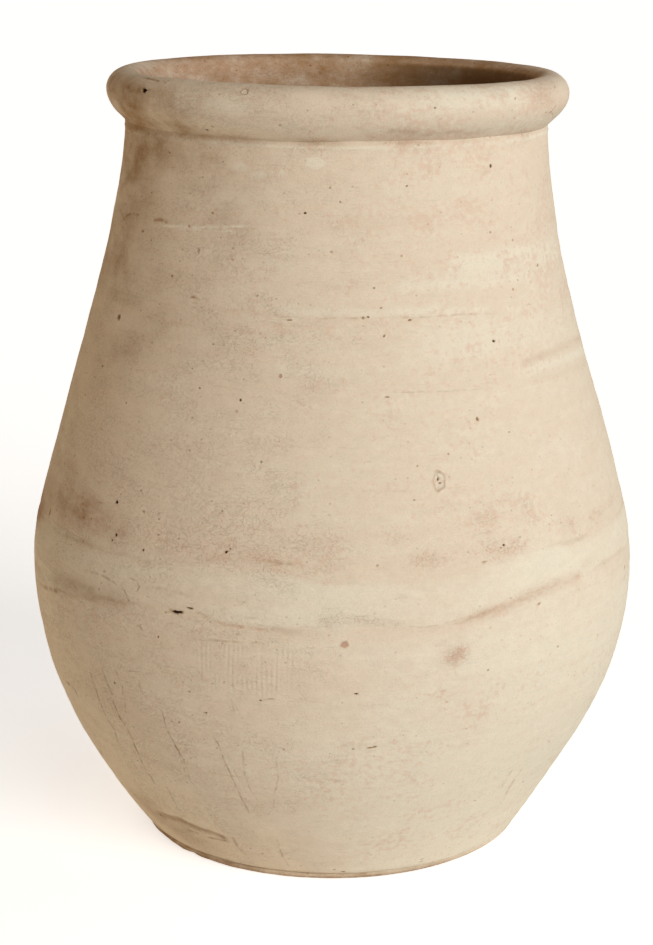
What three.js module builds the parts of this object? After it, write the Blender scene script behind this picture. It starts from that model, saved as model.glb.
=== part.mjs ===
// Olive jar: a tall unglazed clay storage jar with a wide belly, a drawn-in neck and a thick rolled rim.
// The pot is built up from separate sections that are luted together at tongued joints.
// Millimetres, +Z up. The origin is the centre of the foot's underside.

import * as THREE from "three";

// Heights of the sections, from the foot upwards
const ledgeHeight = 5;
const footThickness = 16;
const bowlHeight = 226;
const bandHeight = 36;
const shoulderHeight = 177;
const neckHeight = 118;
const rimHeight = 38;

// Diameters over the outside, and the wall
const footDiameter = 304;
const bellyDiameter = 476;
const neckDiameter = 322;
const rimDiameter = 352;
const wallThickness = 14;

// The widest level lies this far below the band
const bellyDrop = 15;

// Luted joints: a ridge of clay on each lower section fits a groove in the one above
const tongueHeight = 6;
const lutingGap = 0.4;

// Rounded edge of the foot slab
const footEdgeRadius = 2;

// Shape of the outline between its widest level and the neck
const shoulderPullShare = 0.2;
const neckPullShare = 0.35;
const neckFlareShare = 0.075;

// Shape of the rolled rim: height of its fullest level, and place of its crest across the lip
const rimFullShare = 0.7;
const rimCrestShare = 0.34;

// Steps round the axis and along each outline
const turnSteps = 64;
const bowlSteps = 9;
const bandSteps = 2;
const shoulderSteps = 7;
const neckSteps = 6;
const rimSteps = 6;
const edgeSteps = 3;

const footRadius = footDiameter / 2;
const bellyRadius = bellyDiameter / 2;
const neckRadius = neckDiameter / 2;
const rimRadius = rimDiameter / 2;
const mouthRadius = neckRadius - wallThickness;

// Levels of the joints, counted up from the foot
const bandLevel = ledgeHeight + bowlHeight;
const shoulderLevel = bandLevel + bandHeight;
const neckLevel = shoulderLevel + shoulderHeight;
const rimLevel = neckLevel + neckHeight;
const bellyLevel = bandLevel - bellyDrop;

const clay = { roughness: 0.92, metalness: 0 };
const paleClay = new THREE.MeshStandardMaterial({ color: 0xd8c5b0, ...clay });
const slipClay = new THREE.MeshStandardMaterial({ color: 0xe0d2c0, ...clay });
const rimClay = new THREE.MeshStandardMaterial({ color: 0xd2baa2, ...clay });

// Below the widest level the outline is a parabola, upright at the belly.
const bowlOutline = new THREE.QuadraticBezierCurve(
  new THREE.Vector2(footRadius, 0),
  new THREE.Vector2(bellyRadius, bellyLevel / 2),
  new THREE.Vector2(bellyRadius, bellyLevel),
);

// Above it the outline draws in over the shoulder and comes upright again at the neck.
const upperRise = rimLevel - bellyLevel;
const upperDrawIn = bellyRadius - neckRadius;
const upperOutline = new THREE.CubicBezierCurve(
  new THREE.Vector2(bellyRadius, bellyLevel),
  new THREE.Vector2(bellyRadius, bellyLevel + upperRise * shoulderPullShare),
  new THREE.Vector2(neckRadius + upperDrawIn * neckFlareShare, rimLevel - upperRise * neckPullShare),
  new THREE.Vector2(neckRadius, rimLevel),
);

// Outside radius of the wall at a height, found by halving along the outline
function outsideRadius(height) {
  const outline = height < bellyLevel ? bowlOutline : upperOutline;
  let below = 0;
  let above = 1;
  for (let halving = 0; halving < 40; halving += 1) {
    const middle = (below + above) / 2;
    if (outline.getPoint(middle).y < height) {
      below = middle;
    } else {
      above = middle;
    }
  }
  return outline.getPoint(below).x;
}

// A stretch of the outside or inside face of the wall, from one height to another
function wallFace(from, to, steps, depth) {
  const points = [];
  for (let step = 0; step <= steps; step += 1) {
    const height = THREE.MathUtils.lerp(from, to, step / steps);
    points.push(new THREE.Vector2(outsideRadius(height) - depth, height));
  }
  return points;
}

// A quarter of an ellipse, from one angle to another
function quarterRound(centreRadius, centreHeight, width, height, fromAngle, toAngle, steps) {
  const clockwise = toAngle < fromAngle;
  const round = new THREE.EllipseCurve(
    centreRadius, centreHeight, width, height, fromAngle, toAngle, clockwise,
  );
  return round.getPoints(steps);
}

// The middle of the wall at a joint, where the ridge below and the groove above have their tips
function jointTip(level, lift) {
  return new THREE.Vector2(outsideRadius(level) - wallThickness / 2, level + tongueHeight + lift);
}

// Turns an outline about the upright axis into one closed body
function turned(name, outline, material) {
  const geometry = new THREE.LatheGeometry(outline, turnSteps);
  geometry.rotateX(Math.PI / 2);
  const mesh = new THREE.Mesh(geometry, material);
  mesh.name = name;
  return mesh;
}

// The foot: a slab with a thin round edge, and a raised middle that plugs the bottom of the wall
function makeFoot() {
  const wallSeat = ledgeHeight + lutingGap;
  const plugRadius = outsideRadius(wallSeat) - wallThickness - lutingGap;
  const plugTopRadius = outsideRadius(footThickness) - wallThickness - lutingGap;
  const roundRadius = footRadius - footEdgeRadius;
  const right = 0;
  const down = -Math.PI / 2;
  const up = Math.PI / 2;
  const outline = [
    new THREE.Vector2(0, 0),
    ...quarterRound(roundRadius, footEdgeRadius, footEdgeRadius, footEdgeRadius, down, right, edgeSteps),
    ...quarterRound(
      roundRadius, ledgeHeight - footEdgeRadius, footEdgeRadius, footEdgeRadius, right, up, edgeSteps,
    ),
    new THREE.Vector2(plugRadius, ledgeHeight),
    new THREE.Vector2(plugTopRadius, footThickness),
    new THREE.Vector2(0, footThickness),
  ];
  return turned("foot_slab", outline, paleClay);
}

// The bowl: it stands on the foot's ledge, and its top edge carries the first ridge
function makeBowl() {
  const seat = ledgeHeight + lutingGap;
  const outline = [
    ...wallFace(seat, bandLevel, bowlSteps, 0),
    jointTip(bandLevel, 0),
    ...wallFace(bandLevel, seat, bowlSteps, wallThickness),
    new THREE.Vector2(outsideRadius(seat), seat),
  ];
  return turned("bowl_section", outline, paleClay);
}

// A ring of wall with a groove in its lower edge and a ridge on its upper edge
function makeWallRing(name, level, topLevel, steps, material) {
  const seat = level + lutingGap;
  const outline = [
    ...wallFace(seat, topLevel, steps, 0),
    jointTip(topLevel, 0),
    ...wallFace(topLevel, seat, steps, wallThickness),
    jointTip(level, lutingGap),
    new THREE.Vector2(outsideRadius(seat), seat),
  ];
  return turned(name, outline, material);
}

// The rim: a thick roll of clay that overhangs the neck and rounds over into the mouth
function makeRim() {
  const seat = rimLevel + lutingGap;
  const fullLevel = rimLevel + rimHeight * rimFullShare;
  const topRise = rimLevel + rimHeight - fullLevel;
  const crestRadius = THREE.MathUtils.lerp(mouthRadius, rimRadius, rimCrestShare);
  const down = -Math.PI / 2;
  const right = 0;
  const up = Math.PI / 2;
  const left = Math.PI;
  const outline = [
    ...quarterRound(neckRadius, fullLevel, rimRadius - neckRadius, fullLevel - seat, down, right, rimSteps),
    ...quarterRound(crestRadius, fullLevel, rimRadius - crestRadius, topRise, right, up, rimSteps),
    ...quarterRound(crestRadius, fullLevel, crestRadius - mouthRadius, topRise, up, left, rimSteps),
    new THREE.Vector2(mouthRadius, seat),
    jointTip(rimLevel, lutingGap),
    new THREE.Vector2(neckRadius, seat),
  ];
  return turned("rim_roll", outline, rimClay);
}

const jar = new THREE.Group();
jar.add(
  makeFoot(),
  makeBowl(),
  makeWallRing("belly_band", bandLevel, shoulderLevel, bandSteps, slipClay),
  makeWallRing("shoulder_section", shoulderLevel, neckLevel, shoulderSteps, paleClay),
  makeWallRing("neck_section", neckLevel, rimLevel, neckSteps, paleClay),
  makeRim(),
);

export default jar;
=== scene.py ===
import math

import bmesh
import bpy
import numpy as np
from mathutils import Euler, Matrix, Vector


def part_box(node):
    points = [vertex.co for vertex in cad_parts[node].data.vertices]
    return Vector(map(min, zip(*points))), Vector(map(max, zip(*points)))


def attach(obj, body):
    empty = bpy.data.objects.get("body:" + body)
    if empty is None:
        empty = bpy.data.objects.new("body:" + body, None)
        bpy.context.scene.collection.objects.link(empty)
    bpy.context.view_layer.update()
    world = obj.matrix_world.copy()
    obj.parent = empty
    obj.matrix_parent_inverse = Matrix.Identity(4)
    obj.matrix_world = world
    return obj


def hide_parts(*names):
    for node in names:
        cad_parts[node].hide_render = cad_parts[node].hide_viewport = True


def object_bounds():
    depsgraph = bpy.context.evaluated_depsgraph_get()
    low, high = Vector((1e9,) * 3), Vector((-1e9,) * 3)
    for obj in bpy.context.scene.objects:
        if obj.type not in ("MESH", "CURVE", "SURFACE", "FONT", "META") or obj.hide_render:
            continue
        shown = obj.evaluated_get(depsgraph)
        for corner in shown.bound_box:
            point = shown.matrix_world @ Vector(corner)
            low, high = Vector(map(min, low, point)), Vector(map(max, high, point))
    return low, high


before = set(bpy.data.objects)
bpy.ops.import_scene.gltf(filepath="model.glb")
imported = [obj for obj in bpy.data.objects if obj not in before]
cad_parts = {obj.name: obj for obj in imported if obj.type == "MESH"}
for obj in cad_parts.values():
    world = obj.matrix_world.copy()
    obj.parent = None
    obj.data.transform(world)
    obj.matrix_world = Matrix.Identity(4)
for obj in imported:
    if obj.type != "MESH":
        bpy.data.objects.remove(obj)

bl_info = {
    "name": "Clay Olive Jar",
    "version": (1, 0, 0),
    "blender": (4, 5, 0),
    "location": "3D View > Sidebar > Olive Jar",
    "description": "Dresses the packed sections of a clay olive jar and sets up its stage",
    "category": "Object",
}

MM = 0.001

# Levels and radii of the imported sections, in metres
CAD_LOW, CAD_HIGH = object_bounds()
LEDGE_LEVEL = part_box("bowl_section")[0].z
BAND_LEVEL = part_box("belly_band")[0].z
SHOULDER_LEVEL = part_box("shoulder_section")[0].z
NECK_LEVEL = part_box("neck_section")[0].z
RIM_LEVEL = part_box("rim_roll")[0].z
JAR_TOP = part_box("rim_roll")[1].z
FOOT_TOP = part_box("foot_slab")[1].z
FOOT_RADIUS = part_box("foot_slab")[1].x
RIM_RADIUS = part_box("rim_roll")[1].x
BELLY_RADIUS = CAD_HIGH.x
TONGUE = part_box("bowl_section")[1].z - BAND_LEVEL

# The photograph's frame, in pixels
PHOTO_WIDTH = 653
PHOTO_HEIGHT = 945

# Mesh steps: columns round the jar, rows up the outside, and the finer cuts under small marks
COLUMNS = 480
ROW_STEP = 1.6 * MM
INSIDE_STEP = 6 * MM
JOINT_STEP = 4 * MM
FINE_CUTS = 4
OUTLINE_STEPS = 300
LEVEL_STEPS = 60
RIM_STEPS = 40
LENS_RIM_STEPS = 30
WELD_GAP = 0.004 * MM
SHARP_ANGLE = math.radians(50)

# Where the lean and the dip of the upper jar begin, and over what they grow, as shares of its height
LEAN_START = 0.6
LEAN_POWER = 1.5
DIP_START = 0.7
DIP_SPAN = 0.25

# How many marks are scattered over the side that the photo doesn't show
HIDDEN_PITS = 80
HIDDEN_SMEARS = 26
HIDDEN_SCRATCHES = 16

# Lamps: azimuth (0 is the camera's side, 90 the right), elevation and softness in degrees, and colour
LAMPS = {
    "key": (37, 20, 40, (1.0, 0.985, 0.96)),
    "side": (108, 16, 50, (1.0, 1.0, 1.0)),
    "left": (-60, 14, 60, (1.0, 0.64, 0.3)),
    "left_back": (-130, 16, 60, (1.0, 0.64, 0.3)),
    "bounce": (-105, -45, 60, (1.0, 0.85, 0.58)),
}
ROOM_COLOUR = (1.0, 0.94, 0.86, 1.0)
FLOOR_RADIUS = 40
FLOOR_SIDES = 96

# The clay's shine, and the strength and height of its fine grain
SPECULAR = 0.25
GRAIN_STRENGTH = 0.6
GRAIN_HEIGHT = 0.8 * MM

# Small holes in the clay: photo pixel, then width, height and depth in millimetres
PITS = {
    "rim_hole": ((144, 90), 8.0, 4.6, 2.6),
    "rim_hole_tail": ((149, 90), 5.6, 1.4, 0.7),
    "rim_dot": ((435, 108), 1.8, 1.6, 0.9),
    "rim_underside_dot": ((207, 130), 2.4, 2.0, 1.0),
    "neck_pit": ((491, 166), 2.8, 2.4, 1.2),
    "neck_fleck": ((407, 186), 1.8, 1.4, 0.8),
    "neck_left_fleck": ((340, 202), 1.4, 1.2, 0.7),
    "neck_dot": ((305, 213), 2.2, 1.7, 1.3),
    "left_neck_pit": ((143, 231), 4.4, 2.4, 0.6),
    "left_neck_chip": ((198, 250), 3.0, 4.2, 0.35),
    "shoulder_left_pit": ((172, 276), 2.8, 1.8, 0.55),
    "shoulder_dash": ((193, 297), 4.8, 2.0, 0.35),
    "shoulder_dot": ((374, 288), 1.8, 1.5, 0.8),
    "right_shoulder_pit": ((538, 265), 3.0, 2.2, 0.8),
    "right_shoulder_fleck": ((518, 280), 1.6, 1.2, 0.7),
    "seam_dot": ((381, 308), 1.7, 1.5, 0.8),
    "seam_double_pit": ((363, 318), 2.6, 1.9, 0.8),
    "seam_double_pit_twin": ((368, 317), 1.8, 1.6, 1.0),
    "seam_right_pit": ((410, 320), 3.2, 1.5, 0.8),
    "seam_left_pit": ((289, 320), 3.8, 1.3, 0.6),
    "left_edge_hole": ((119, 317), 7.0, 4.6, 0.9),
    "shoulder_low_dot": ((384, 336), 1.7, 1.5, 0.8),
    "right_wall_hole": ((494, 341), 2.6, 2.2, 1.2),
    "left_wall_dot": ((103, 366), 2.8, 2.0, 1.0),
    "wall_dot": ((199, 388), 1.8, 1.6, 0.9),
    "wall_hole": ((240, 400), 2.0, 2.4, 1.1),
    "wall_fleck": ((387, 397), 3.4, 1.4, 0.6),
    "right_low_pit": ((477, 419), 2.4, 3.0, 0.8),
    "right_low_fleck": ((509, 432), 1.6, 1.3, 0.6),
    "wall_speck": ((448, 454), 1.7, 1.3, 0.7),
    "wall_speck_low": ((417, 466), 1.5, 1.6, 0.6),
    "wall_speck_lower": ((414, 500), 1.7, 1.3, 0.6),
    "left_belly_hole": ((116, 502), 3.8, 2.8, 1.6),
    "left_edge_slit": ((50, 512), 3.0, 5.4, 1.4),
    "left_cluster_a": ((116, 535), 2.6, 2.8, 1.3),
    "left_cluster_b": ((112, 540), 2.0, 2.0, 1.0),
    "left_cluster_c": ((143, 550), 2.2, 2.0, 1.1),
    "belly_hole": ((226, 552), 2.6, 2.0, 1.4),
    "belly_hole_twin": ((230, 549), 1.6, 1.4, 0.9),
    "band_left_pit": ((158, 637), 2.0, 1.8, 1.0),
    "band_scar": ((171, 611), 6.0, 3.2, 0.5),
    "band_scar_middle": ((177, 612), 11.0, 3.0, 1.2),
    "band_scar_tail": ((190, 608), 7.5, 1.5, 1.0),
    "right_belly_hole": ((504, 545), 2.0, 1.9, 1.1),
    "right_belly_dot": ((468, 552), 1.5, 1.3, 0.8),
    "right_belly_slit": ((484, 562), 5.4, 1.4, 0.4),
    "right_band_pit": ((539, 604), 2.8, 2.0, 0.45),
    "right_edge_pit": ((624, 567), 4.0, 3.0, 1.2),
    "right_edge_pit_low": ((624, 578), 3.6, 4.0, 1.1),
    "bowl_dash": ((356, 694), 3.8, 1.4, 1.2),
    "bowl_gash": ((371, 748), 6.4, 1.4, 0.7),
    "bowl_gash_end": ((375, 747), 2.6, 1.3, 1.0),
    "bowl_right_pit": ((476, 803), 2.4, 1.8, 0.9),
    "bowl_low_pit": ((422, 860), 3.0, 1.6, 0.9),
    "bowl_dot": ((206, 713), 2.0, 1.5, 0.9),
    "bowl_dot_low": ((179, 722), 1.7, 1.4, 0.8),
    "bowl_dot_right": ((260, 701), 1.9, 1.5, 1.0),
    "bowl_left_dot": ((114, 683), 2.6, 1.7, 0.9),
    "foot_chip": ((343, 872), 3.6, 2.6, 1.2),
    "foot_chip_left": ((334, 870), 2.6, 1.6, 0.9),
    "foot_chip_right": ((401, 870), 3.8, 1.8, 1.0),
    "foot_dot": ((262, 855), 1.9, 1.6, 0.9),
    "lime_burst_crack": ((438, 479), 1.5, 2.8, 1.0),
    "lime_burst_crack_end": ((440, 483), 2.4, 1.6, 0.9),
    "foot_chip_far": ((421, 862), 3.0, 1.6, 0.9),
}

# Burst spots: photo pixel, width, height and depth in millimetres, tints inside, and grime on the edge
BURSTS = {
    "lime_burst": ((439, 481), 9.4, 12.8, 0.5, {"bloom": 0.5, "blush": 0.25, "dirt": 0.06}, 0.36),
    "lime_burst_knob": ((440, 475), 4.6, 4.4, -0.5, {"bloom": 0.6}, 0.3),
    "rim_ring": ((245, 92), 5.6, 4.6, 0.5, {"bloom": 0.6}, 0.6),
    "neck_lime": ((315, 163), 15, 9, -0.15, {"bloom": 1.0, "blush": -0.6}, 0),
    "left_edge_strip": ((37, 503), 96, 44, 0, {"dirt": 0.4, "rust": 0.7}, 0),
    "left_belly_stain": ((92, 512), 60, 34, 0, {"dirt": 0.16, "blush": 0.4}, 0),
    "left_low_stain": ((88, 592), 70, 16, 0, {"dirt": 0.18}, 0),
    # Partly painted shade of the rim's dark left side, partly grime
    "rim_left_stain": ((132, 104), 80, 26, 0, {"dirt": 0.22}, 0),
    "rust_spot": ((280, 376), 3.2, 3.0, 0.5, {"rust": 0.5, "dirt": 0.45}, 0.2),
    "rust_spot_low": ((344.5, 645), 6.2, 5.8, 0.3, {"rust": 0.75}, 0.16),
    "right_bowl_spot": ((597, 635), 2.4, 2.6, 0.4, {"rust": 0.4}, 0.2),
}

# Lines, scratches and smears: photo pixels, width and depth in millimetres, and tints
STROKES = {
    "rim_crack": (((559, 102), (555, 107), (552, 111), (549, 114)), 1.4, 0.6, {"rust": 0.9, "dirt": 0.25}),
    "rim_crack_branch": (((545, 113), (549, 112), (553, 115)), 1.3, 0.4, {"rust": 0.7, "bloom": 0.3}),
    "rim_edge_crack": (((141, 77), (150, 79), (161, 81), (171, 81)), 1.5, 0.8, {"dirt": 0.8}),
    # The wide brown strokes on the rim's left are partly painted shade of the jar's dark left side, partly
    # grime
    "rim_left_brown": (((110, 90), (128, 99), (165, 108)), 26, 0, {"dirt": 0.2}),
    "rim_left_dark": (((124, 86), (150, 92), (172, 94)), 7, 0, {"dirt": 0.26}),
    "rim_left_low": (((122, 116), (160, 124), (205, 130)), 10, 0, {"dirt": 0.26}),
    "rim_smear": (((170, 134), (250, 140), (350, 142)), 8, 0, {"dirt": 0.18}),
    "rim_smear_right": (((392, 131), (430, 134), (486, 131)), 5, 0, {"dirt": 0.14}),
    "rim_pale_left": (((118, 100), (134, 106)), 8, 0, {"bloom": 0.3}),
    "rim_pale": (((180, 100), (240, 108)), 12, 0, {"bloom": 0.5}),
    "rim_pale_right": (((430, 100), (520, 94)), 16, 0, {"bloom": 0.5}),
    "neck_lime_left": (((237, 166), (244, 167)), 5, -0.1, {"bloom": 0.8}),
    "neck_lime_middle": (((255, 175), (262, 175)), 4.5, -0.1, {"bloom": 0.8}),
    "neck_lime_right": (((268, 173), (284, 172)), 3.6, -0.1, {"bloom": 0.7}),
    # The wide brown strokes on the neck's left are partly painted shade of the jar's dark left side, partly
    # grime
    "neck_brown_left": (((134, 150), (136, 190), (124, 235)), 56, 0, {"dirt": 0.2}),
    "neck_brown": (((140, 152), (175, 158), (215, 160)), 18, 0, {"dirt": 0.2}),
    "left_pale_scratch": (((162, 225), (200, 227), (250, 226)), 1.9, 0.3,
                          {"bloom": 0.9, "dirt": -0.2, "blush": -0.4}),
    "left_pale_scratch_low": (((180, 229), (210, 230), (236, 231)), 1.4, 0.2, {"bloom": 0.6, "dirt": -0.1}),
    "left_dark_scratch": (((153, 220), (160, 220), (167, 222)), 2.0, 0.5, {"dirt": 0.6}),
    "left_hook": (((127, 216), (133, 213), (140, 215)), 1.8, 0.3, {"dirt": 0.4}),
    "left_curve": (((120, 205), (123, 215), (129, 226)), 2.0, 0.2, {"dirt": 0.22}),
    "cream_smear": (((455, 264), (500, 257), (556, 250)), 13, -0.1, {"bloom": 0.8}),
    "cream_smear_low": (((400, 286), (470, 282), (530, 276)), 9, 0, {"bloom": 0.45}),
    "pale_stripe": (((285, 311), (370, 313), (455, 311)), 6.5, -0.1, {"bloom": 0.5}),
    "seam": (((318, 319), (340, 318), (366, 318)), 1.3, 0.2, {"dirt": 0.26}),
    "seam_right": (((392, 318), (430, 317), (470, 314), (503, 313)), 1.2, 0.2, {"dirt": 0.22}),
    "seam_pale": (((395, 313), (440, 312), (492, 309)), 3.4, -0.1, {"bloom": 0.35}),
    "high_line": (((388, 392), (432, 392), (482, 389)), 1.2, 0.15, {"dirt": 0.18}),
    "right_swirl": (((582, 337), (556, 350), (524, 362)), 6, 0.1, {"dirt": 0.1, "bloom": -0.3}),
    "right_swirl_pale": (((588, 348), (560, 361), (530, 371)), 6, 0, {"bloom": 0.6}),
    "right_swirl_low": (((588, 362), (560, 374), (535, 381)), 5, 0.1, {"dirt": 0.07}),
    "left_belly_brown": (((62, 500), (90, 508), (116, 526)), 28, 0, {"dirt": 0.2, "blush": 0.3}),
    "left_belly_pale": (((38, 522), (52, 532), (70, 545)), 12, 0, {"bloom": 0.9}),
    "left_low_brown": (((56, 580), (86, 588), (122, 600)), 15, 0, {"dirt": 0.26}),
    "left_squiggle": (((38, 581), (44, 586), (52, 589), (57, 591)), 3, 0.3, {"dirt": 0.5}),
    "left_low_line": (((86, 570), (99, 574), (115, 582)), 1.8, 0.2, {"dirt": 0.4}),
    "left_curl": (((131, 578), (138, 581), (140, 587), (137, 591)), 1.4, 0.3, {"dirt": 0.5}),
    "left_curl_low": (((124, 589), (127, 595), (129, 602)), 1.4, 0.3, {"dirt": 0.45}),
    "left_tick": (((136, 625), (139, 627), (142, 631)), 1.7, 0.4, {"dirt": 0.55}),
    "left_grey_smudge": (((156, 588), (172, 590), (190, 596)), 2.4, 0, {"dirt": 0.28}),
    "left_upper_smudge": (((264, 561), (280, 563), (294, 565)), 2.4, 0.1, {"dirt": 0.34}),
    "blush_above_band": (((160, 540), (240, 548), (330, 556)), 26, 0, {"blush": 0.42, "wear": 0.5}),
    "blush_high": (((205, 516), (260, 524)), 20, 0, {"blush": 0.3, "wear": 0.3}),
    "blush_line": (((208, 557), (250, 560), (300, 563)), 5, 0.1, {"blush": 0.6, "dirt": 0.05}),
    "brown_above_band": (((415, 563), (460, 555), (520, 545)), 15, 0, {"blush": 0.4, "wear": 0.5}),
    "stippled_right": (((450, 530), (500, 522), (560, 510)), 34, 0, {"blush": 0.34, "wear": 0.5}),
    "brown_right_edge": (((572, 528), (600, 516), (612, 498)), 18, 0, {"blush": 0.4, "wear": 0.5}),
    "cream_blob": (((536, 559), (552, 555), (566, 552)), 8, -0.2, {"bloom": 0.8}),
    "slip_streak": (((462, 621), (496, 610), (525, 597), (555, 584), (578, 577)), 9.5, 0.2,
                    {"blush": 0.6, "dirt": 0.08, "bloom": -0.5, "wear": 0.6}),
    "slip_smear": (((322, 621), (356, 620), (402, 624)), 7, 0.1, {"blush": 0.5, "dirt": 0.1, "wear": 0.8}),
    "slip_streak_end": (((584, 565), (596, 556)), 9, 0, {"dirt": 0.06, "blush": 0.3}),
    "lower_dark_line": (((400, 627), (424, 628), (436, 626), (463, 619)), 1.4, 0.2,
                        {"dirt": 0.3, "blush": 0.4}),
    "lower_pink_line": (((194, 610), (208, 619), (224, 625), (248, 628), (268, 631)), 2.4, 0.3,
                        {"blush": 0.9, "dirt": 0.1, "bloom": -0.4}),
    "lower_smudge": (((274, 628), (286, 631), (300, 632)), 5, 0, {"dirt": 0.24}),
    "third_line": (((198, 640), (230, 642), (266, 644)), 1.5, 0.3, {"dirt": 0.24}),
    "pink_smudge": (((450, 657), (460, 652)), 15, 0, {"blush": 0.6, "rust": 0.14, "wear": 1.0}),
    "pink_smudge_core": (((454, 656), (458, 652)), 6, 0, {"rust": 0.18, "wear": 0.6}),
    "pink_haze": (((440, 700), (480, 712)), 24, 0, {"blush": 0.45}),
    "bowl_right_tick": (((434, 693), (446, 690)), 1.3, 0.2, {"dirt": 0.3}),
    "scratch_1": (((88, 668), (96, 693), (106, 718), (112, 725), (117, 740), (122, 752)),
                  1.6, 0.23, {"dirt": 0.42}),
    "scratch_2": (((101, 668), (110, 690), (117, 712), (127, 728), (136, 749), (144, 767), (156, 788)),
                  1.7, 0.27, {"dirt": 0.47}),
    "scratch_3": (((113, 664), (119, 680), (124, 697), (126, 714), (129, 723)), 1.4, 0.18, {"dirt": 0.38}),
    "scratch_4": (((161, 710), (168, 733), (175, 744), (181, 759), (186, 776)), 1.3, 0.23, {"dirt": 0.42}),
    "scratch_5": (((174, 742), (184, 761), (191, 781), (198, 790)),
                  1.2, 0.18, {"dirt": 0.38, "bloom": 0.2}),
    "scratch_6": (((213, 735), (218, 743), (224, 760), (232, 778), (241, 798), (249, 814)),
                  1.2, 0.23, {"dirt": 0.42}),
    "scratch_7": (((226, 756), (236, 776), (246, 795), (251, 810)), 1.2, 0.18, {"bloom": 0.7}),
    "scratch_8": (((242, 750), (244, 771), (249, 788), (258, 802)), 1.2, 0.18, {"dirt": 0.38}),
    "scratch_9": (((276, 760), (278, 778), (274, 795), (273, 809)), 1.2, 0.14, {"dirt": 0.3}),
    "scratch_10": (((275, 838), (282, 857), (289, 868)), 1.3, 0.18, {"dirt": 0.3}),
    "scratch_11": (((229, 693), (231, 704), (234, 714)), 1.2, 0.14, {"dirt": 0.3}),
    "scratch_12": (((261, 701), (267, 699), (274, 699)), 1.2, 0.18, {"dirt": 0.51}),
    "scratch_13": (((65, 681), (71, 687), (77, 696)), 2.4, 0.32, {"dirt": 0.59}),
    "scratch_14": (((160, 771), (164, 779)), 1.4, 0.14, {"dirt": 0.38}),
    "scratch_15": (((168, 791), (175, 805), (181, 814)), 1.4, 0.14, {"dirt": 0.3}),
    "scratch_16": (((126, 671), (140, 672), (152, 675)), 1.2, 0.09, {"dirt": 0.26}),
    "scratch_17": (((138, 679), (140, 688), (143, 694)), 1.9, 0.09, {"dirt": 0.26}),
    "scratch_18": (((247, 826), (254, 834), (258, 841)), 1.2, 0.14, {"dirt": 0.26}),
    "edge_nick": (((99, 752), (103, 757)), 3.4, 0.9, {"dirt": 0.8}),
    "right_arc": (((524, 772), (514, 788), (505, 806)), 2.2, 0.4, {"dirt": 0.36, "bloom": -0.3}),
    "right_arc_pale": (((528, 778), (518, 796), (508, 818)), 3.0, 0.2, {"bloom": 0.5}),
    "right_arc_inner": (((514, 772), (507, 782), (503, 792)), 1.8, 0.3, {"dirt": 0.24}),
    "foot_scrape": (((158, 815), (176, 820), (196, 829), (222, 839)), 6.4, 1.0, {"dirt": 0.7}),
    "foot_scrape_line": (((186, 831), (205, 838), (228, 843)), 2.0, 0.4, {"dirt": 0.45}),
    "foot_scrape_end": (((231, 838), (236, 848), (246, 857)), 2.6, 0.4, {"dirt": 0.3}),
    "foot_left_dark": (((145, 816), (158, 832), (176, 845)), 8.0, 0.4, {"dirt": 0.5}),
    "foot_left_line": (((176, 848), (200, 855), (235, 862)), 2.6, 0.6, {"dirt": 0.3}),
    "foot_left_wide": (((140, 800), (165, 824), (205, 842)), 30, 0, {"dirt": 0.28}),
}

# The slip over the belly joint: photo pixels along its upper and lower edge
SLIP_TOP = (
    (54, 530), (83, 543), (117, 557), (152, 566), (210, 564), (256, 568), (294, 574), (333, 582),
    (384, 583), (440, 576), (487, 566), (521, 557), (560, 545), (590, 534), (613, 522),
)
SLIP_FOOT = (
    (48, 582), (110, 600), (175, 611), (224, 624), (294, 628), (360, 629), (424, 629), (463, 620),
    (500, 610), (530, 599), (560, 588), (594, 570),
)

# Fine upright comb strokes: photo pixel of the middle, width and height in millimetres
COMB = ((243, 670), 84, 44)


def linear(red, green, blue):
    """A colour given as 0 to 255, as Blender's linear values."""
    return tuple((channel / 255) ** 2.2 for channel in (red, green, blue))


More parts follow.
